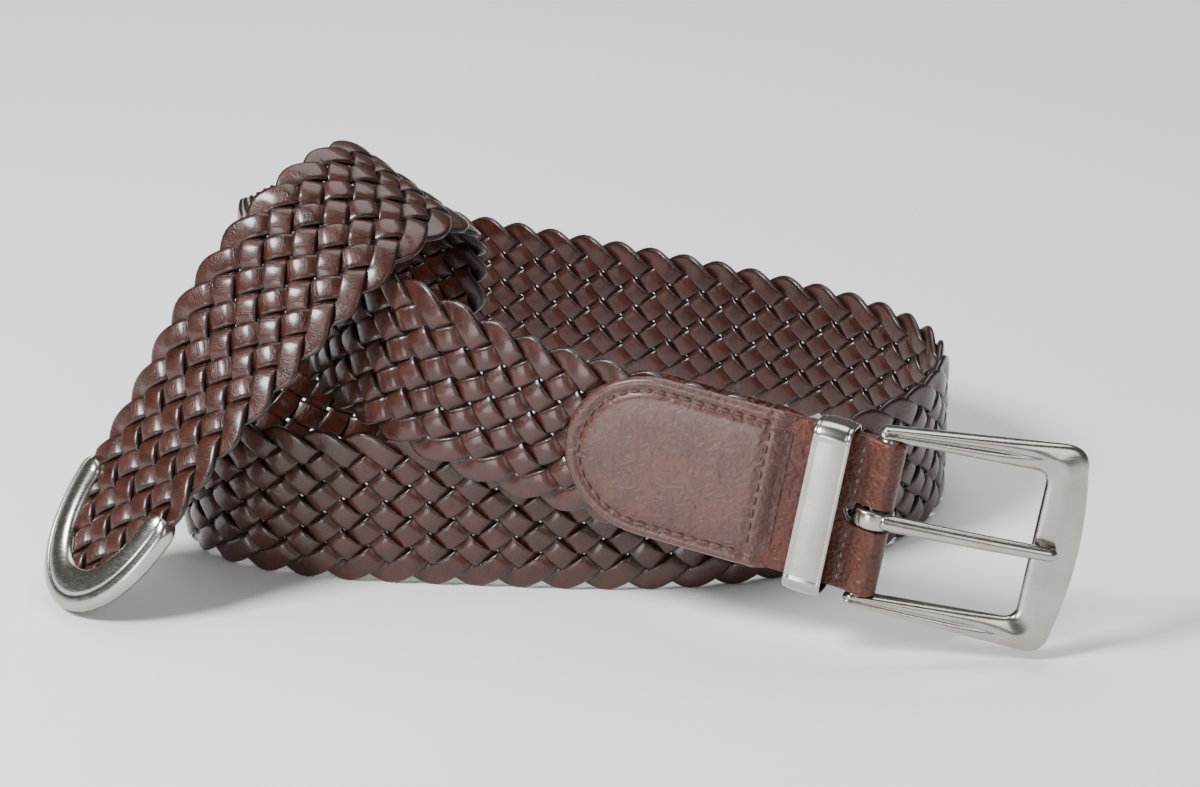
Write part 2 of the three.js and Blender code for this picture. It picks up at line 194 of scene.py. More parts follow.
def section_curve(t):
    """Uniform cubic B-spline steered by the section rows, with one row added past each end in line."""
    rows = SECTIONS * SCALES
    rows = np.vstack([2 * rows[0] - rows[1], rows, 2 * rows[-1] - rows[-2]])
    last = len(SECTIONS) - 1
    t = np.clip(t, 0, last)
    i = np.minimum(np.floor(t).astype(int), last - 1)
    f = (t - i)[:, None]
    weights = (
        (1 - f) ** 3 / 6,
        (3 * f**3 - 6 * f**2 + 4) / 6,
        (-3 * f**3 + 3 * f**2 + 3 * f + 1) / 6,
        f**3 / 6,
    )
    return sum(w * rows[i + k] for k, w in enumerate(weights))


def measure_strap():
    """Distances along the middle line at fine steps of the curve's parameter, as chord sums."""
    t = np.linspace(0, len(SECTIONS) - 1, 8001)
    steps = np.linalg.norm(np.diff(section_curve(t)[:, :3], axis=0), axis=1)
    return t, np.concatenate([[0], np.cumsum(steps)])


STRAP_T, STRAP_S = measure_strap()
STRAP_LENGTH = STRAP_S[-1]
TIP_MOUTH = STRAP_LENGTH - TIP_LENGTH


def strap_axes(distance):
    """Origin, across, along and outward at distances from the bar: the curve's point, the width
    direction made square to the tangent, the tangent, and across times along."""
    distance = np.clip(np.atleast_1d(np.asarray(distance, float)), 0, STRAP_LENGTH)
    t = np.interp(distance, STRAP_S, STRAP_T)
    here = section_curve(t)
    nudge = 0.01
    along = section_curve(t + nudge)[:, :3] - section_curve(t - nudge)[:, :3]
    along /= np.linalg.norm(along, axis=1)[:, None]
    across = here[:, 3:] - (here[:, 3:] * along).sum(1)[:, None] * along
    across /= np.linalg.norm(across, axis=1)[:, None]
    return here[:, :3], across, along, np.cross(across, along)


def table_shift():
    """From the section table's place to the part's: the keeper's box centre less its centre here."""
    low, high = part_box("keeper")
    origin, _, _, outward = strap_axes(KEEPER_PLACE)
    centre = origin[0] + outward[0] * (KEEPER_DEPTH / 2 - LEATHER - CLEARANCE)
    return (np.array(low) + np.array(high)) / 2 / METRES - centre


SHIFT = table_shift()


def on_strap(across, along, out):
    """Points of the strap's own room laid along the curve: origin + across V + out N at distance along."""
    across, along, out = np.broadcast_arrays(across, along, out)
    origin, v, _, n = strap_axes(along.ravel())
    laid = origin + across.reshape(-1, 1) * v + out.reshape(-1, 1) * n + SHIFT
    return laid.reshape(across.shape + (3,))


def at_strap(points, distance, turn=0.0):
    """Points of a stiff piece carried by the strap's axes at one distance, turned about its own x first."""
    origin, across, along, outward = (axis[0] for axis in strap_axes(distance))
    angle = np.radians(turn)
    x, y, z = np.moveaxis(np.asarray(points, float), -1, 0)
    turned_y = y * np.cos(angle) - z * np.sin(angle)
    turned_z = y * np.sin(angle) + z * np.cos(angle)
    return (origin + SHIFT + x[..., None] * across + turned_y[..., None] * along
            + turned_z[..., None] * outward)


def quads(rows, columns, wrap_rows=False):
    """Index quads of a grid closed round its columns, and along its rows too where asked."""
    i = np.arange(rows if wrap_rows else rows - 1)
    i, j = np.meshgrid(i, np.arange(columns), indexing="ij")
    i2, j2 = (i + 1) % rows, (j + 1) % columns
    corners = (i * columns + j, i * columns + j2, i2 * columns + j2, i2 * columns + j)
    return np.stack(corners, -1).reshape(-1, 4)


def tube_faces(rows, columns, wrap_rows=False):
    """Faces of a grid closed round its columns, with flat end caps where its rows don't close."""
    faces = quads(rows, columns, wrap_rows).tolist()
    if not wrap_rows:
        faces.append(list(range(columns))[::-1])
        faces.append(list(range((rows - 1) * columns, rows * columns)))
    return faces


def signed_volume(points, faces):
    """Six times the volume under the faces, by fans from each face's first corner."""
    total = 0.0
    by_size = {}
    for face in faces:
        by_size.setdefault(len(face), []).append(face)
    for size, group in by_size.items():
        group = np.array(group)
        first = points[group[:, 0]]
        for k in range(1, size - 1):
            total += np.einsum("ij,ij->", first, np.cross(points[group[:, k]], points[group[:, k + 1]]))
    return total


def make_piece(name, points, faces, material, body, uv=None, turn_out=True):
    """A mesh object at the origin from millimetre points, faces turned outwards, riding on a body."""
    points = np.asarray(points, float).reshape(-1, 3) * METRES
    if not len(faces) or not np.isfinite(points).all():
        raise RuntimeError(f"{name} could not be made")
    if turn_out and signed_volume(points, faces) < 0:
        faces = [face[::-1] for face in faces]
    mesh = bpy.data.meshes.new(name)
    mesh.from_pydata(points.tolist(), [], faces)
    if uv is not None:
        layer = mesh.uv_layers.new(name="strap")
        corners = np.empty(len(mesh.loops), int)
        mesh.loops.foreach_get("vertex_index", corners)
        layer.data.foreach_set("uv", np.asarray(uv, float).reshape(-1, 2)[corners].ravel())
    mesh.polygons.foreach_set("use_smooth", np.full(len(mesh.polygons), True))
    mesh.materials.append(material)
    mesh.update()
    piece = bpy.data.objects.new(name, mesh)
    bpy.context.scene.collection.objects.link(piece)
    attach(piece, body)
    return piece


# Materials


class Nodes:
    """A material's node tree with short calls to add nodes and links."""

    def __init__(self, name):
        self.material = bpy.data.materials.new(name)
        self.material.use_nodes = True
        self.tree = self.material.node_tree
        self.shader = self.tree.nodes["Principled BSDF"]

    def add(self, kind, inputs=None, **settings):
        """A node with its settings, and each input set to a value or linked from a socket."""
        node = self.tree.nodes.new(kind)
        for key, value in settings.items():
            setattr(node, key, value)
        for key, value in (inputs or {}).items():
            if isinstance(value, bpy.types.NodeSocket):
                self.tree.links.new(value, node.inputs[key])
            else:
                node.inputs[key].default_value = value
        return node

    def link(self, socket, name):
        """A socket linked to an input of the shader."""
        self.tree.links.new(socket, self.shader.inputs[name])

    def hold(self, values):
        """Constant values for inputs of the shader."""
        for name, value in values.items():
            self.shader.inputs[name].default_value = value

    def noise(self, place, scale, detail, more=None):
        """Noise on a place, with a scale in waves a metre."""
        inputs = {"Vector": place, "Scale": scale, "Detail": detail, **(more or {})}
        return self.add("ShaderNodeTexNoise", inputs).outputs["Fac"]

    def remap(self, value, start, end, low=0.0, high=1.0):
        """A value's range from start to end laid onto the range from low to high."""
        inputs = {"Value": value, 1: start, 2: end, 3: low, 4: high}
        return self.add("ShaderNodeMapRange", inputs).outputs[0]

    def bump(self, height, strength, distance, over=None, invert=False):
        """A bump with its depth in metres, laid over another one where that is given."""
        inputs = {"Height": height, "Strength": strength, "Distance": distance}
        if over is not None:
            inputs["Normal"] = over
        return self.add("ShaderNodeBump", inputs, invert=invert).outputs[0]

    def ramp(self, factor, stops):
        """A colour ramp from stops of position and colour."""
        node = self.add("ShaderNodeValToRGB", {"Fac": factor})
        elements = node.color_ramp.elements
        while len(elements) < len(stops):
            elements.new(0.5)
        for element, (position, colour) in zip(elements, stops):
            element.position = position
            element.color = (*colour, 1)
        return node.outputs["Color"]


def shade(colour, factor):
    """A colour made lighter or darker by one factor."""
    return tuple(min(channel * factor, 1) for channel in colour)


def strand_leather(colour, edge):
    """Glazed cut leather: mottled colour, painted shade along the strands' edges where they meet, fine grain
    and long creases.
    """
    made = Nodes("strand leather")
    place = made.add("ShaderNodeTexCoord").outputs["Object"]
    across = made.add("ShaderNodeUVMap", uv_map="strap").outputs["UV"]
    parts = made.add("ShaderNodeSeparateXYZ", {0: across})
    patchy = made.noise(place, 260.0, 5.0, {"Roughness": 0.6})
    mottled = made.ramp(patchy, [(0.30, shade(colour, 0.62)), (0.52, colour), (0.72, shade(colour, 1.55))])
    # Painted shade: the colour darkens to the edge colour towards each strand's two edges, where the strands
    # meet.
    middle = made.add("ShaderNodeMath", {0: parts.outputs["Y"], 1: 0.5}, operation="SUBTRACT")
    away = made.add("ShaderNodeMath", {0: middle.outputs[0]}, operation="ABSOLUTE")
    rim = made.remap(away.outputs[0], 0.34, 0.49)
    mixed = made.add("ShaderNodeMix", {"Factor": rim, "A": mottled, "B": (*edge, 1)}, data_type="RGBA")
    made.link(mixed.outputs["Result"], "Base Color")
    made.link(made.remap(patchy, 0.3, 0.7, 0.24, 0.44), "Roughness")
    grain = made.noise(place, 2600.0, 3.0)
    crease_place = made.add("ShaderNodeMapping", {"Vector": across, "Scale": (14.0, 3.0, 1.0)})
    crease = made.noise(crease_place.outputs[0], 1.0, 4.0)
    fine = made.bump(grain, 0.22, 0.0003)
    made.link(made.bump(crease, 0.35, 0.0008, over=fine), "Normal")
    made.hold({"Specular IOR Level": 0.3, "Coat Weight": 0.60, "Coat Roughness": 0.20})
    return made.material


def tab_leather(name, colour, wrinkle, gloss):
    """Pebbled glazed hide: cells of a Voronoi for the pebbles, broad noise for colour and soft wrinkles."""
    made = Nodes(name)
    place = made.add("ShaderNodeTexCoord").outputs["Object"]
    broad = made.noise(place, 110.0, 6.0, {"Roughness": 0.65})
    stops = [(0.3, shade(colour, 0.68)), (0.5, colour), (0.72, shade(colour, 1.45))]
    made.link(made.ramp(broad, stops), "Base Color")
    pebble = made.add("ShaderNodeTexVoronoi", {"Vector": place, "Scale": 1100.0}, feature="SMOOTH_F1")
    creases = made.noise(place, 330.0, 6.0, {"Distortion": 1.4})
    fine = made.bump(pebble.outputs["Distance"], 0.75, 0.0004, invert=True)
    made.link(made.bump(creases, wrinkle, 0.0013, over=fine), "Normal")
    made.link(made.remap(broad, 0.3, 0.7, 0.32, 0.5), "Roughness")
    made.hold({"Specular IOR Level": 0.4, "Coat Weight": gloss, "Coat Roughness": 0.30})
    return made.material


def thread_cotton(name, colour):
    """Waxed thread: a fine wave for the twist."""
    made = Nodes(name)
    place = made.add("ShaderNodeTexCoord").outputs["Object"]
    twist = made.add("ShaderNodeTexWave", {"Vector": place, "Scale": 900.0, "Distortion": 1.5})
    stops = [(0.2, shade(colour, 0.7)), (0.8, shade(colour, 1.15))]
    made.link(made.ramp(twist.outputs["Fac"], stops), "Base Color")
    made.hold({"Roughness": 0.6})
    return made.material


def satin_nickel(colour):
    """Brushed plated metal: fine streaks in roughness and bump, and a faint cloud in its colour."""
    made = Nodes("satin nickel")
    place = made.add("ShaderNodeTexCoord").outputs["Object"]
    stretched = made.add("ShaderNodeMapping", {"Vector": place, "Scale": (240.0, 900.0, 2600.0)})
    streak = made.noise(stretched.outputs[0], 1.0, 3.0)
    cloud = made.noise(place, 120.0, 4.0)
    stops = [(0.35, shade(colour, 0.9)), (0.65, shade(colour, 1.06))]
    made.link(made.ramp(cloud, stops), "Base Color")
    made.link(made.remap(streak, 0.3, 0.7, 0.20, 0.29), "Roughness")
    made.link(made.bump(streak, 0.02, 0.0002), "Normal")
    made.hold({"Metallic": 1.0})
    return made.material


# Shapes


def bell(x, place, width):
    """A rounded ridge of height 1: e to the power of minus the square of its distance in widths."""
    return np.exp(-(((x - place) / width) ** 2))


def quarter_round(distance, radius, least=0.0):
    """Height of a quarter circle as a share of its radius, at a distance in from its edge: the root of
    1 less the square of the rest, where that is never under the least."""
    share = np.clip(distance / radius, 0, 1)
    return np.sqrt(np.clip(1 - (1 - share) ** 2, least, 1))


def tip_half_width(inset, from_mouth):
    """Half the width of the tip's outline: (w / 2 - inset) times the root of 1 - share ** roundness."""
    share = np.clip(from_mouth / (TIP_LENGTH - inset), 0, 1)
    return (TIP_WIDTH / 2 - inset) * np.sqrt(1 - share**TIP_ROUNDNESS)


def soft_profile(half_width, half_thickness):
    """A closed round-cornered profile: powers of cosine and sine, the second softer so that it is domed."""
    count, squareness, dome = 16, 0.50, 0.62
    turn = np.linspace(0, 2 * np.pi, count, endpoint=False)
    x = half_width * np.sign(np.cos(turn)) * abs(np.cos(turn)) ** squareness
    y = half_thickness * np.sign(np.sin(turn)) * abs(np.sin(turn)) ** dome
    return x, y


def strand_course(index, braid):
    """Middle line of one strand in strap room. Across it is reach * asin(k cos a) / asin(k), straight
    runs with eased turns. Its height is a squared-off cosine that changes sign from one crossing to the
    next, and round each edge a sine that carries the strand from one face to the other."""
    count, sharp, firm = braid.strand_count, braid.edge_sharpness, CROSSING_FIRMNESS
    s = np.arange(BILLET_LENGTH + STRAND_GAP, STRAP_LENGTH - TIP_WALL - STRAND_GAP, braid.strand_step)
    phase = (s / (WEAVE_PITCH * count) + index / count) % 1.0
    across = -braid.reach * np.arcsin(sharp * np.cos(2 * np.pi * phase)) / np.arcsin(sharp)
    family = np.where(phase < 0.5, 1, -1)
    beat = family * np.tanh(firm * np.cos(2 * np.pi * s / WEAVE_PITCH)) / np.tanh(firm)
    edge = np.round(phase * 2)
    past = (phase * 2 - edge) * count * WEAVE_PITCH / 2
    flip = np.where((edge * (count + 1)) % 2 == 1, -1, 1)
    wrap = -flip * np.sin(np.pi * past / WEAVE_PITCH)
    return s, across, braid.lift * np.where(abs(past) < WEAVE_PITCH / 2, wrap, beat)


def strand_points(index, braid):
    """One flat strand: the soft profile carried along its course, square to it in the strap's face, kept
    inside the tip's wall and above the floor, and its own map of run and share across."""
    s, across, height = strand_course(index, braid)
    slope_s = np.gradient(s)
    slope_v = np.gradient(across)
    length = np.hypot(slope_s, slope_v)
    side_s, side_v = -slope_v / length, slope_s / length
    x, y = soft_profile(braid.strand_width / 2, braid.strand_thickness / 2)
    along = s[:, None] + side_s[:, None] * x
    inside = TIP_WALL + CLEARANCE
    narrow = np.where(s > TIP_MOUTH, tip_half_width(inside, s - TIP_MOUTH), BAND_WIDTH)
    narrow = np.minimum(narrow / (BAND_WIDTH / 2), 1)
    sideways = (across[:, None] + side_v[:, None] * x) * narrow[:, None]
    limit = np.where(along > TIP_MOUTH, tip_half_width(inside, along - TIP_MOUTH), BAND_WIDTH / 2 + SCALLOP)
    along = np.clip(along, BILLET_LENGTH + CLEARANCE, STRAP_LENGTH - TIP_WALL - CLEARANCE)
    sideways = np.clip(sideways, -limit, limit)
    run = np.concatenate([[0], np.cumsum(length[1:])])
    uv = np.stack(np.broadcast_arrays(run[:, None] / CREASE_UNIT, x / braid.strand_width + 0.5), -1)
    laid = on_strap(sideways, along, height[:, None] + y)
    laid[..., 2] = np.maximum(laid[..., 2], 0)
    return laid, uv


def patch_half_width(s):
    """Half the patch's width: straight, then a quarter ellipse to its round end."""
    share = np.clip((s - PATCH_ROUND_START) / PATCH_ROUND, 0, 1)
    return BAND_WIDTH / 2 * np.sqrt(1 - share**2)


def patch_inset(s, v):
    """Distance in from the patch's outline: half width less |v|, or the ellipse's share of it."""
    round_share = np.hypot(v / (BAND_WIDTH / 2), np.maximum(s - PATCH_ROUND_START, 0) / PATCH_ROUND)
    return np.maximum(1 - round_share, 0) * BAND_WIDTH / 2


def patch_height(s, v, tab):
    """Top of the patch over the braid: a quick rise at its edge, a dip along the stitches, a low crown, a
    dip along the seam at the braid's end, and there a smooth step down to the billet."""
    edge_run, dip_depth, dip_run, crown_height, crown_run, step_run = 0.35, 0.42, 0.75, 0.55, 2.2, 4.5
    inset = patch_inset(s, v)
    rise = 1 - np.exp(-inset / edge_run)
    dip = dip_depth * bell(inset, tab.stitch_inset, dip_run)
    crown = crown_height * (1 - np.exp(-np.maximum(inset - tab.stitch_inset, 0) / crown_run))
    seam = dip_depth * bell(s, SEAM_PLACE, dip_run)
    ramp = np.clip((s - (BILLET_LENGTH - PATCH_LAP)) / step_run, 0, 1)
    ramp = ramp * ramp * (3 - 2 * ramp)
    base = LEATHER * (1 - ramp) + (BAND_THICKNESS / 2 + CLEARANCE) * ramp
    return base + ramp * ((PATCH_LEATHER - 0.1) * rise + crown * ramp) - dip - seam * ramp


def patch_sheet(side, tab):
    """A patch as rings along the strap, crowded towards its round end: over its top from edge to edge,
    then back underneath."""
    rings, columns, crowding, thinnest, lift = 90, 61, 1.3, 0.02, 0.05
    s_end = BILLET_LENGTH + PATCH_LENGTH
    s = s_end - (s_end - BILLET_LENGTH + PATCH_LAP) * np.linspace(1, 0, rings) ** crowding
    w = np.sin(np.linspace(-np.pi / 2, np.pi / 2, columns))
    flare = np.clip((s - (BILLET_LENGTH - PATCH_LAP)) / PATCH_LAP, 0, 1)
    widest = BILLET_WIDTH / 2 + (BAND_WIDTH - BILLET_WIDTH) / 2 * flare
    v = np.minimum(patch_half_width(s), widest)[:, None] * w
    top = patch_height(s[:, None], v, tab)
    under = np.minimum(top - thinnest, BAND_THICKNESS / 2 + lift)
    ring_v = np.hstack([v, v[:, ::-1]])
    ring_h = np.hstack([top, under[:, ::-1]])
    return on_strap(ring_v, s[:, None] + 0 * ring_v, side * ring_h), len(s), ring_v.shape[1]


def billet_halves(side):
    """One half of the billet and its loop: a path out over the front, round the bar and back, with the
    leather's thickness square to it, from the slot's edge to the billet's rounded edge."""
    steps, overlap, loop_start, arc_trim, edge_round, edge_least = 30, 2, 2.4, 0.35, 0.6, 0.05
    radius = BAR_RADIUS + CLEARANCE + LEATHER / 2
    ply = LEATHER / 2 + PLY_GAP
    turn = np.linspace(np.pi / 2 - arc_trim, -np.pi / 2 + arc_trim, steps + 1)
    straight = np.linspace(BILLET_LENGTH + overlap, loop_start, steps)
    path_s = np.concatenate([straight, -radius * np.cos(turn), straight[::-1]])
    path_h = np.concatenate([np.full(steps, ply), radius * np.sin(turn), np.full(steps, -ply)])
    kernel = np.array([1, 2, 3, 2, 1]) / 9
    for _ in range(2):
        path_s = np.convolve(np.pad(path_s, 2, mode="edge"), kernel, "valid")
        path_h = np.convolve(np.pad(path_h, 2, mode="edge"), kernel, "valid")
    tangent = np.stack([np.gradient(path_s), np.gradient(path_h)], -1)
    tangent /= np.linalg.norm(tangent, axis=1)[:, None]
    normal = np.stack([tangent[:, 1], -tangent[:, 0]], -1)
    slot = SLOT_WIDTH / 2 * quarter_round(SLOT_REACH - path_s, SLOT_WIDTH / 2)
    outer = BILLET_WIDTH / 2
    w = 0.5 - 0.5 * np.cos(np.linspace(0, np.pi, 25))
    v = slot[:, None] + (outer - slot[:, None]) * w
    thick = LEATHER / 2 * np.minimum(1, quarter_round(outer - v, edge_round) + edge_least)
    ring_v = np.hstack([v, v[:, ::-1]])
    offset = np.hstack([thick, -thick[:, ::-1]])
    ring_s = path_s[:, None] + normal[:, :1] * offset
    ring_h = path_h[:, None] + normal[:, 1:] * offset
    points = np.stack([side * ring_v, ring_s, ring_h], -1)
    return at_strap(points, 0.0), len(path_s), ring_v.shape[1]


def billet_height(s, v):
    """Outer face of the billet: its leather's thickness everywhere."""
    return LEATHER + PLY_GAP + 0 * s


def stitch_cloud(places, directions, normals, length, radius):
    """Many short threads at once: rings that slim to both ends by the root of 1 - u ** 4, on a line bowed
    by the square of u so that both ends sink into the leather."""
    rings, sides, bite, thinnest = 9, 8, 1.3, 0.01
    u = np.linspace(-1, 1, rings)
    turn = np.linspace(0, 2 * np.pi, sides, endpoint=False)
    u, turn = np.meshgrid(u, turn, indexing="ij")
    slim = np.sqrt(np.clip(1 - u**4, 0.0, 1)) * radius + thinnest
    sideways = np.cross(normals, directions)
    run = (u * length / 2)[None, ..., None] * directions[:, None, None, :]
    side = (slim * np.cos(turn))[None, ..., None] * sideways[:, None, None, :]
    lift = (slim * np.sin(turn) - bite * radius * u**2)[None, ..., None] * normals[:, None, None, :]
    points = places[:, None, None, :] + run + side + lift
    starts = np.arange(len(places))[:, None] * rings * sides
    first = np.arange(sides)
    faces = (quads(rings, sides) + starts[..., None]).reshape(-1, 4).tolist()
    caps = np.stack([starts + first[::-1], starts + (rings - 1) * sides + first], 1)
    return points.reshape(-1, 3), faces + caps.reshape(-1, sides).tolist()


def stitch_row(course_v, course_s, height, pitch, length, radius, side):
    """Stitches spaced evenly along a course in strap room, seated at the height function."""
    seat, nudge = 0.55, 0.1
    run = np.concatenate([[0], np.cumsum(np.hypot(np.diff(course_v), np.diff(course_s)))])
    marks = np.arange(pitch / 2, run[-1] - pitch / 4, pitch)

    def seated(at):
        v, s = np.interp(at, run, course_v), np.interp(at, run, course_s)
        return s, on_strap(v, s, side * (height(s, v) + radius * seat))

    s, here = seated(marks)
    directions = seated(marks + nudge)[1] - here
    directions /= np.linalg.norm(directions, axis=1)[:, None]
    return stitch_cloud(here, directions, strap_axes(s)[3] * side, length, radius)


def frame_outlines():
    """Inner and outer outlines of the buckle frame from one rail's end round to the other's: straight
    rails with their points crowded at the ends, quadratic corners and a far end, with equal counts so
    that they pair up."""
    crowding = 1.8
    bar, far = BUCKLE_BAR_HEIGHT / 2, BUCKLE_FAR_HEIGHT / 2
    window_bar, window_far = BILLET_WIDTH / 2 + CLEARANCE, WINDOW_FAR_HEIGHT / 2
    shoulder = BUCKLE_LENGTH - BUCKLE_BOW
    t = np.linspace(0, 1, 26)[:, None]
    corner_t = np.linspace(0, 1, 12)[1:-1, None]
    leaving, arriving = t**crowding, 1 - (1 - t) ** crowding

    def mirrored(point):
        return -point[0], point[1]

    def line(a, b, share):
        return np.array(a) * (1 - share) + np.array(b) * share

    def bend(a, control, b, share):
        away = 1 - share
        return away**2 * np.array(a) + 2 * share * away * np.array(control) + share**2 * np.array(b)

    rail, end = (far, BUCKLE_CORNER - shoulder), (far - BUCKLE_CORNER, -shoulder)
    outer = np.vstack([
        line((bar, BUCKLE_TAIL), rail, leaving),
        bend(rail, (far, -shoulder), end, corner_t),
        bend(end, (0, -BUCKLE_LENGTH - BUCKLE_BOW), mirrored(end), t),
        bend(mirrored(end), (-far, -shoulder), mirrored(rail), corner_t),
        line(mirrored(rail), (-bar, BUCKLE_TAIL), arriving),
    ])
    rail, end = (window_far, WINDOW_CORNER - WINDOW_LENGTH), (window_far - WINDOW_CORNER, -WINDOW_LENGTH)
    inner = np.vstack([
        line((window_bar, BUCKLE_TAIL), rail, leaving),
        bend(rail, (window_far, -WINDOW_LENGTH), end, corner_t),
        line(end, mirrored(end), t),
        bend(mirrored(end), (-window_far, -WINDOW_LENGTH), mirrored(rail), corner_t),
        line(mirrored(rail), (-window_bar, BUCKLE_TAIL), arriving),
    ])
    return inner, outer


def both_faces(share, height):
    """A rim's whole profile: the front face's points, then the same mirrored for the back."""
    return np.concatenate([share, share[::-1]]), np.concatenate([height, -height[..., ::-1]], axis=-1)


def frame_surface():
    """The buckle's rim: points between its outlines, raised by a profile that goes from a double ridge
    along the rails to one ridge over the far end; the rail ends are drawn in round."""
    rail_round, ridges_meet = 1.6, 20
    inner, outer = frame_outlines()
    middle = (inner + outer) / 2
    round_end = quarter_round(BUCKLE_TAIL - middle[:, 1], rail_round, ROUND_END_LEAST)[:, None]
    far_share = np.clip((-middle[:, 1] - ridges_meet) / (WINDOW_LENGTH - ridges_meet), 0, 1)[:, None] ** 2
    share, height = both_faces(RIM_SHARE, RAIL_HEIGHT * (1 - far_share) + FAR_HEIGHT * far_share)
    half = (outer - inner) / 2 * round_end
    flat = middle[:, None] + half[:, None] * (2 * share - 1)[None, :, None]
    raised = BUCKLE_THICKNESS / 2 * height * round_end
    points = np.dstack([flat[..., 0], flat[..., 1], raised])
    return at_strap(points, 0.0, BUCKLE_TURN), len(inner), len(share)


def bar_section():
    """Share across a rim and height over it: a rounded rectangle from powers of cosine and sine."""
    turn = np.linspace(0, 2 * np.pi, 20, endpoint=False)
    share = 0.5 + 0.5 * np.sign(np.cos(turn)) * abs(np.cos(turn)) ** 0.45
    height = np.sign(np.sin(turn)) * abs(np.sin(turn)) ** 0.55
    return share, height


def round_bar(points, radii, sides=20):
    """A round rod along points in one plane of constant x: circles square to the path."""
    tangent = np.gradient(points, axis=0)
    tangent /= np.linalg.norm(tangent, axis=1)[:, None]
    side = np.cross(tangent, np.array([0.0, 0.0, 1.0]))
    side /= np.linalg.norm(side, axis=1)[:, None]
    up = np.cross(side, tangent)
    turn = np.linspace(0, 2 * np.pi, sides, endpoint=False)
    ring = np.cos(turn)[None, :, None] * side[:, None] + np.sin(turn)[None, :, None] * up[:, None]
    return points[:, None] + radii[:, None, None] * ring


def prong_rod():
    """The prong's rod: a path that leaves the eye, bends a little and dips to the far end, radius eased
    from root to a round nose."""
    start, nose, bow, least = 1.5, 2, 0.5, 0.0025
    shaft = np.linspace(start, PRONG_LENGTH - nose, 50)
    rounding = PRONG_LENGTH - nose + nose * np.sin(np.linspace(0.1, 1, 8) * np.pi / 2)
    y = -np.concatenate([shaft, rounding])
    share = -y / PRONG_LENGTH
    root = PRONG_EYE - PRONG_ROOT
    rest = BUCKLE_THICKNESS / 2 + CLEARANCE + PRONG_END
    z = root + (rest - root) * share + bow * np.sin(np.pi * share)
    radius = PRONG_ROOT + (PRONG_END - PRONG_ROOT) * share
    radius = radius * quarter_round(PRONG_LENGTH + y, nose, least)
    return np.stack([0 * y, y, z], -1), radius


def ring_band(inner_radius, outer_radius, width, count=40):
    """An eye round the bar: a rounded rectangle turned once about the x axis."""
    share, height = bar_section()
    radius = inner_radius + (outer_radius - inner_radius) * (height + 1) / 2
    x = width * (share - 0.5)
    turn = np.linspace(0, 2 * np.pi, count, endpoint=False)[:, None]
    return np.dstack([x + 0 * turn, radius * np.cos(turn), radius * np.sin(turn)]), count, len(share)


def keeper_surface():
    """The keeper: a round-cornered rectangle round the billet, closed on itself, that carries a thin
    section crowned between two fine beads, with one raised line across near each of its ends."""
    bead_place, valley_place, line_run = 0.91, 0.80, 0.05
    bead_height, valley_depth, end_height = 0.10, 0.12, 0.20
    end_place, end_run, steps = 16.2, 0.35, 70
    width, depth, corner = KEEPER_HEIGHT / 2, KEEPER_DEPTH / 2, KEEPER_BEND
    turn = np.linspace(0, np.pi / 2, 9)
    arc = np.stack([np.cos(turn), np.sin(turn)], -1)
    long_x = np.linspace(corner - width, width - corner, steps + 2)[1:-1]
    long_side = np.stack([long_x[::-1], np.full(steps, depth)], -1)
    right = arc * corner + (width - corner, depth - corner)
    left = arc[::-1] * corner * (-1, 1) + (corner - width, depth - corner)
    upper = np.vstack([right, long_side, left])
    upper_normal = np.vstack([arc, np.tile([0.0, 1.0], (steps, 1)), arc[::-1] * (-1, 1)])
    path = np.vstack([upper, -upper])
    normal = np.vstack([upper_normal, -upper_normal])
    y = np.linspace(-1, 1, 41)
    outer = KEEPER_WALL * (0.35 + 0.65 * np.sqrt(np.clip(1 - y**6, 0, 1)) * (1 - 0.6 * y**2))
    outer = outer + bead_height * bell(abs(y), bead_place, line_run)
    outer = outer - valley_depth * bell(abs(y), valley_place, line_run)
    ends = end_height * bell(abs(path[:, 0]), end_place, end_run)
    crowned = outer[None, :] + ends[:, None] * (1 - y[None, :] ** 8)
    thickness = np.hstack([crowned, np.zeros((len(path), len(y)))])
    along = np.concatenate([y, y[::-1]]) * KEEPER_WIDTH / 2
    flat = path[:, None] + normal[:, None] * thickness[..., None]
    centre = depth - LEATHER - CLEARANCE
    points = np.dstack([flat[..., 0], along + 0 * flat[..., 0], flat[..., 1] + centre])
    return at_strap(points, KEEPER_PLACE), len(path), len(along)


def tip_surface():
    """The tip's rim: points between its opening and its outline, raised by its profile with a fine
    groove towards the outer edge; both horns end round, and the rim is wider at its apex."""
    apex_more, horn_reach, horn_round, horn_height = 2.0, 0.6, 3.6, 0.6
    turn = np.sin(np.linspace(-np.pi / 2, np.pi / 2, 121)) * np.pi / 2
    along_share = np.cos(turn)

    def outline(inset, apex):
        along = (TIP_LENGTH - apex) * along_share
        half = (TIP_WIDTH / 2 - inset) * np.sqrt(1 - along_share**TIP_ROUNDNESS)
        return np.stack([np.sign(turn) * half, along], -1)

    outer, inner = outline(0.0, 0.0), outline(TIP_RIM, TIP_RIM + apex_more)
    middle = (inner + outer) / 2
    round_end = quarter_round(middle[:, 1] + horn_reach, horn_round, ROUND_END_LEAST)[:, None]
    share, height = both_faces(TIP_SHARE, TIP_HEIGHT)
    half = (outer - inner) / 2 * round_end
    flat = middle[:, None] + half[:, None] * (2 * share - 1)[None, :, None]
    raised = TIP_THICKNESS / 2 * height * (horn_height + (1 - horn_height) * round_end)
    points = np.dstack([flat[..., 0], flat[..., 1] - TIP_LENGTH, raised])
    return at_strap(points, STRAP_LENGTH), len(turn), len(share)


# Settings


def in_millimetres(settings):
    """Plain values of a settings group, with its lengths turned from metres into millimetres."""
    values = SimpleNamespace()
    for key, kind in settings.bl_rna.properties.items():
        if key not in ("rna_type", "name"):
            value = getattr(settings, key)
            setattr(values, key, value / METRES if kind.unit == "LENGTH" else value)
    return values


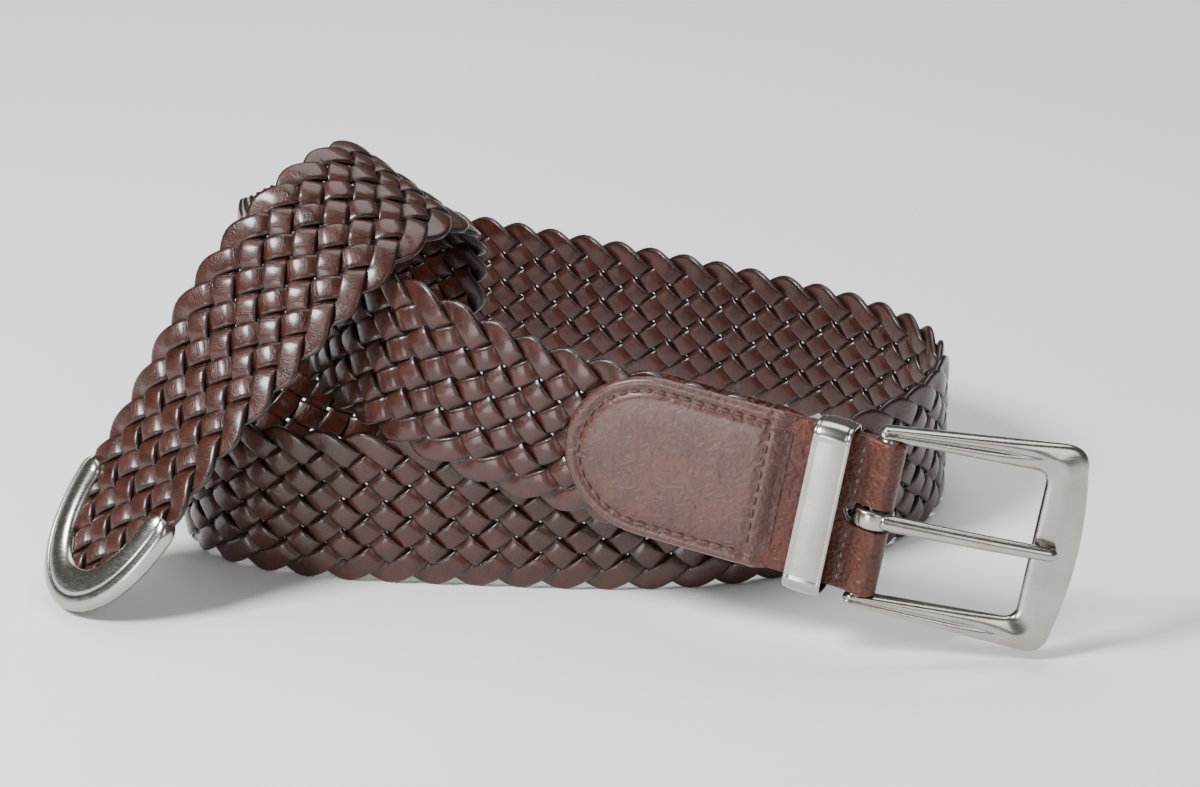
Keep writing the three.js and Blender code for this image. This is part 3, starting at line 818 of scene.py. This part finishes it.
class BraidSettings(PropertyGroup):
    """Sizes of the weave, and its colours."""

    strand_count: IntProperty(name="Strands", description="Strands in the flat braid", default=9, min=5)
    strand_width: FloatProperty(
        name="Strand width", description="Width of one strand", default=5.3 * METRES, unit="LENGTH")
    strand_thickness: FloatProperty(
        name="Strand thickness", description="Thickness of one strand", default=1.6 * METRES, unit="LENGTH")
    strand_step: FloatProperty(
        name="Step", description="Distance between rings", default=0.8 * METRES, unit="LENGTH")
    reach: FloatProperty(
        name="Reach", description="Strap's middle to a strand's turn", default=15.3 * METRES, unit="LENGTH")
    edge_sharpness: FloatProperty(
        name="Edge sharpness", description="1 would turn at a point", default=0.985)
    lift: FloatProperty(
        name="Lift", description="Rise of a strand at a crossing", default=0.85 * METRES, unit="LENGTH")
    colour: FloatVectorProperty(
        name="Leather", description="Face of the strands", subtype="COLOR", default=(0.042, 0.0086, 0.0040))
    # Painted shade: the dark colour that each strand takes towards its edges, where the strands meet.
    edge_shade_colour: FloatVectorProperty(
        name="Cut edge", description="Strands' cut edges", subtype="COLOR", default=(0.009, 0.0030, 0.0020))


class TabSettings(PropertyGroup):
    """Sizes of the tab's stitches, and its colours."""

    stitch_inset: FloatProperty(
        name="Stitch inset", description="In from the patch's edge", default=2.9 * METRES, unit="LENGTH")
    stitch_pitch: FloatProperty(
        name="Stitch pitch", description="From one stitch to the next", default=2.9 * METRES, unit="LENGTH")
    stitch_length: FloatProperty(
        name="Stitch length", description="Seen length of a stitch", default=2.3 * METRES, unit="LENGTH")
    stitch_radius: FloatProperty(
        name="Thread radius", description="Radius of the thread", default=0.36 * METRES, unit="LENGTH")
    bar_stitch_place: FloatProperty(
        name="Bar stitches", description="Row of stitches from the bar", default=4.6 * METRES, unit="LENGTH")
    colour: FloatVectorProperty(
        # Patch colour: the hide's own tone, set lighter than the strands partly to stand in for the sheen on
        # the patch (partly painted sheen).
        name="Patch", description="Pebbled patch leather", subtype="COLOR", default=(0.070, 0.0180, 0.0100))
    billet_colour: FloatVectorProperty(
        name="Billet", description="Billet and its loop", subtype="COLOR", default=(0.075, 0.0150, 0.0058))
    thread_colour: FloatVectorProperty(
        name="Thread", description="Stitching thread", subtype="COLOR", default=(0.075, 0.036, 0.030))
    pale_thread_colour: FloatVectorProperty(
        name="Pale thread", description="Stitches by the bar", subtype="COLOR", default=(0.20, 0.15, 0.125))


class MetalSettings(PropertyGroup):
    """Finish of the metal fittings."""

    colour: FloatVectorProperty(
        name="Nickel", description="Plated metal", subtype="COLOR", default=(0.43, 0.405, 0.365))


class StageSettings(PropertyGroup):
    """Camera, lights and floor."""

    elevation: FloatProperty(
        name="Elevation", description="Camera above the horizon", default=np.radians(22.0), subtype="ANGLE")
    distance: FloatProperty(
        name="Distance", description="Camera from its target", default=850.0 * METRES, unit="LENGTH")
    scale: FloatProperty(
        name="Scale", description="Photograph pixels per millimetre at the front", default=4.55)
    key_power: FloatProperty(
        name="Key light", description="Power of the left light", default=15.0, unit="POWER")
    fill_power: FloatProperty(
        name="Fill light", description="Power of the front light", default=2.5, unit="POWER")
    floor_colour: FloatVectorProperty(
        name="Floor", description="Pale floor", subtype="COLOR", default=(0.95, 0.95, 0.95))


# Operators


class BELT_OT_braid(Operator):
    """Weave the strap from flat strands"""

    bl_idname = "belt.braid"
    bl_label = "Braid"

    def execute(self, context):
        braid = in_millimetres(context.scene.belt_braid)
        leather = strand_leather(tuple(braid.colour), tuple(braid.edge_shade_colour))
        for index in range(braid.strand_count):
            points, uv = strand_points(index, braid)
            faces = tube_faces(points.shape[0], points.shape[1])
            strand = make_piece(f"strand_{index + 1:02d}", points, faces, leather, "strap", uv)
        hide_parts("braid")
        return {"FINISHED"}


class BELT_OT_tab(Operator):
    """Make the leather tab: patches, billet, loop and stitches"""

    bl_idname = "belt.tab"
    bl_label = "Tab"

    def execute(self, context):
        tab = in_millimetres(context.scene.belt_tab)
        hide = tab_leather("patch leather", tuple(tab.colour), wrinkle=0.9, gloss=0.7)
        redder = tab_leather("billet leather", tuple(tab.billet_colour), wrinkle=0.6, gloss=0.15)
        thread = thread_cotton("thread", tuple(tab.thread_colour))
        pale = thread_cotton("pale thread", tuple(tab.pale_thread_colour))
        for side, name in ((1, "patch_front"), (-1, "patch_back")):
            points, rows, columns = patch_sheet(side, tab)
            patch = make_piece(name, points, tube_faces(rows, columns), hide, "strap")
            if side == 1:
                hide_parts("tab")
            self.sew(name, side, tab, thread)
        for side, name in ((1, "billet_upper"), (-1, "billet_lower")):
            points, rows, columns = billet_halves(side)
            half = make_piece(name, points, tube_faces(rows, columns), redder, "strap")
        slot_margin, edge_margin = 1.2, 1.4
        run = np.linspace(SLOT_WIDTH / 2 + slot_margin, BILLET_WIDTH / 2 - edge_margin, 30)
        place = np.full(len(run), tab.bar_stitch_place)
        finer = (tab.stitch_pitch * 0.8, tab.stitch_length * 0.6, tab.stitch_radius * 0.8)
        for side, name in ((1, "upper"), (-1, "lower")):
            points, faces = stitch_row(side * run, place, billet_height, *finer, 1)
            piece = make_piece(f"bar_stitches_{name}", points, faces, pale, "strap", turn_out=False)
        return {"FINISHED"}

    def sew(self, name, side, tab, thread):
        """Stitches round the patch, set in from its outline, and one row across at the braid's end."""
        steps, seam_margin = 60, 1.5
        half = BAND_WIDTH / 2 - tab.stitch_inset
        reach = PATCH_ROUND * (1 - tab.stitch_inset / (BAND_WIDTH / 2))
        turn = np.linspace(0, np.pi, 2 * steps + 1)
        round_v, round_s = half * np.cos(turn), PATCH_ROUND_START + reach * np.sin(turn)
        straight = np.linspace(SEAM_PLACE, PATCH_ROUND_START, steps)
        course_v = np.concatenate([np.full(steps, half), round_v[1:], np.full(steps - 1, -half)])
        course_s = np.concatenate([straight, round_s[1:], straight[::-1][1:]])
        cross_v = np.linspace(half - seam_margin, seam_margin - half, steps)

        def height(s, v):
            return patch_height(s, v, tab)

        sizes = (tab.stitch_pitch, tab.stitch_length, tab.stitch_radius)
        rows = ((course_v, course_s), (cross_v, np.full(steps, SEAM_PLACE)))
        for number, (v, s) in enumerate(rows, 1):
            points, faces = stitch_row(v, s, height, *sizes, side)
            piece = make_piece(f"{name}_stitches_{number}", points, faces, thread, "strap", turn_out=False)


class BELT_OT_buckle(Operator):
    """Make the buckle frame with its bar, and the prong"""

    bl_idname = "belt.buckle"
    bl_label = "Buckle"

    def execute(self, context):
        metal = metal_material(context)
        points, rows, columns = frame_surface()
        rim = make_piece("buckle_rim", points, tube_faces(rows, columns), metal, "buckle")
        rings, sides, into_rail = 9, 32, 1.2
        half = BUCKLE_BAR_HEIGHT / 2 - into_rail
        turn = np.linspace(0, 2 * np.pi, sides, endpoint=False)
        x = np.linspace(-half, half, rings)[:, None]
        y, z = BAR_RADIUS * np.cos(turn), BAR_RADIUS * np.sin(turn)
        bar = np.dstack([x + 0 * turn, y + 0 * x, z + 0 * x])
        pin = make_piece("buckle_bar", at_strap(bar, 0.0, BUCKLE_TURN), tube_faces(rings, sides),
                         metal, "buckle")
        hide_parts("buckle_frame")
        path, radii = prong_rod()
        rod = round_bar(path, radii)
        rod_piece = make_piece("prong_rod", at_strap(rod, 0.0, BUCKLE_TURN),
                               tube_faces(rod.shape[0], rod.shape[1]), metal, "prong")
        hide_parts("prong")
        eye, rows, columns = ring_band(BAR_RADIUS + CLEARANCE, PRONG_EYE, PRONG_EYE_WIDTH)
        eye_piece = make_piece("prong_eye", at_strap(eye, 0.0, BUCKLE_TURN),
                               tube_faces(rows, columns, wrap_rows=True), metal, "prong")
        return {"FINISHED"}


class BELT_OT_keeper(Operator):
    """Make the metal keeper round the billet"""

    bl_idname = "belt.keeper"
    bl_label = "Keeper"

    def execute(self, context):
        points, rows, columns = keeper_surface()
        faces = tube_faces(rows, columns, wrap_rows=True)
        keeper = make_piece("keeper_band", points, faces, metal_material(context), "strap")
        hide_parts("keeper")
        return {"FINISHED"}


class BELT_OT_tip(Operator):
    """Make the rounded metal tip"""

    bl_idname = "belt.tip"
    bl_label = "Tip"

    def execute(self, context):
        points, rows, columns = tip_surface()
        tip = make_piece("tip_rim", points, tube_faces(rows, columns), metal_material(context), "strap")
        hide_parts("tip")
        return {"FINISHED"}


def metal_material(context):
    """The one metal finish that all the fittings share."""
    return bpy.data.materials.get("satin nickel") or satin_nickel(tuple(context.scene.belt_metal.colour))


class BELT_OT_stage(Operator):
    """Set the floor, the lights and the camera"""

    bl_idname = "belt.stage"
    bl_label = "Stage"

    def execute(self, context):
        stage = in_millimetres(context.scene.belt_stage)
        self.lay_floor(stage)
        self.hang_lights(stage)
        self.place_camera(context, stage)
        return {"FINISHED"}

    def lay_floor(self, stage):
        """One wide pale quad at the table's height."""
        made = Nodes("pale floor")
        made.hold({"Base Color": (*stage.floor_colour, 1), "Roughness": 0.9})
        mesh = bpy.data.meshes.new("floor")
        reach = 6.0
        corners = [(-reach, -reach, 0), (reach, -reach, 0), (reach, reach, 0), (-reach, reach, 0)]
        mesh.from_pydata(corners, [], [(0, 1, 2, 3)])
        mesh.materials.append(made.material)
        floor = bpy.data.objects.new("floor", mesh)
        bpy.context.scene.collection.objects.link(floor)

    def hang_lights(self, stage):
        """A faint even world, and four square lamps turned to the belt."""
        world = bpy.data.worlds.new("soft room")
        world.use_nodes = True
        world.node_tree.nodes["Background"].inputs["Color"].default_value = (1, 1, 1, 1)
        world.node_tree.nodes["Background"].inputs["Strength"].default_value = 0.13
        bpy.context.scene.world = world
        target = Vector((0, 0, 0.03))
        # Name, place and size in metres, and power
        lights = (
            ("key", (-0.60, -0.40, 0.75), 0.26, stage.key_power),
            ("top", (0.10, 0.30, 1.00), 0.80, stage.fill_power * 3.0),
            ("front", (0.45, -1.00, 0.55), 0.50, stage.fill_power),
            ("low", (-0.52, -0.86, 0.12), 0.30, stage.fill_power * 1.1),
        )
        for name, place, size, power in lights:
            lamp = bpy.data.lights.new(name, "AREA")
            lamp.size = size
            lamp.energy = power
            light = bpy.data.objects.new(name, lamp)
            light.location = place
            light.rotation_euler = (target - Vector(place)).to_track_quat("-Z", "Y").to_euler()
            bpy.context.scene.collection.objects.link(light)

    def place_camera(self, context, stage):
        """A pinhole at the photograph's elevation: its target is over the coil's middle, and the front of
        the strap lies at the stated scale, with the photograph's foot line kept by a small shift."""
        photo_width, photo_height = 1200.0, 787.0
        foot_row = 595.0
        angle = stage.elevation
        ahead = np.array([0, np.cos(angle), -np.sin(angle)])
        up = np.array([0, np.sin(angle), np.cos(angle)])
        target = np.array([0, 55.0, 25.0])
        eye = target - stage.distance * ahead
        focal = stage.scale * ((np.array([0, 0, BAND_WIDTH / 2]) - eye) @ ahead)
        middle_row = foot_row - focal * (eye @ up) / (-eye @ ahead)
        camera = bpy.data.cameras.new("camera")
        camera.sensor_width = 36.0
        camera.lens = focal / photo_width * camera.sensor_width
        camera.shift_y = (middle_row - photo_height / 2) / photo_width
        camera.clip_start = 0.01
        camera.clip_end = 50.0
        holder = bpy.data.objects.new("camera", camera)
        place = (eye + SHIFT) * METRES
        holder.matrix_world = Matrix([
            [1, up[0], -ahead[0], place[0]],
            [0, up[1], -ahead[1], place[1]],
            [0, up[2], -ahead[2], place[2]],
            [0, 0, 0, 1],
        ])
        bpy.context.scene.collection.objects.link(holder)
        context.scene.camera = holder


class BELT_PT_panel(Panel):
    """Lists the belt's pieces in the sidebar"""

    bl_idname = "BELT_PT_panel"
    bl_label = "Braided belt"
    bl_space_type = "VIEW_3D"
    bl_region_type = "UI"
    bl_category = "Belt"

    def draw(self, context):
        for operator in PIECE_OPERATORS:
            self.layout.operator(operator.bl_idname)
        for settings, names in (
            (context.scene.belt_braid, ("strand_count", "strand_width", "colour")),
            (context.scene.belt_tab, ("stitch_pitch", "colour")),
            (context.scene.belt_metal, ("colour",)),
            (context.scene.belt_stage, ("elevation", "key_power")),
        ):
            for name in names:
                self.layout.prop(settings, name)


SETTINGS = {
    "belt_braid": BraidSettings,
    "belt_tab": TabSettings,
    "belt_metal": MetalSettings,
    "belt_stage": StageSettings,
}
PIECE_OPERATORS = (BELT_OT_braid, BELT_OT_tab, BELT_OT_buckle, BELT_OT_keeper, BELT_OT_tip, BELT_OT_stage)


def register():
    """Classes first, then a settings group for each on the scene."""
    for kind in (*SETTINGS.values(), *PIECE_OPERATORS, BELT_PT_panel):
        bpy.utils.register_class(kind)
    for name, kind in SETTINGS.items():
        setattr(bpy.types.Scene, name, PointerProperty(type=kind))


def unregister():
    """The reverse of register."""
    for name in SETTINGS:
        delattr(bpy.types.Scene, name)
    for kind in reversed((*SETTINGS.values(), *PIECE_OPERATORS, BELT_PT_panel)):
        bpy.utils.unregister_class(kind)


def main():
    """Make every piece."""
    register()
    bpy.ops.belt.braid()
    bpy.ops.belt.tab()
    bpy.ops.belt.buckle()
    bpy.ops.belt.keeper()
    bpy.ops.belt.tip()
    bpy.ops.belt.stage()


if __name__ == "__main__":
    main()
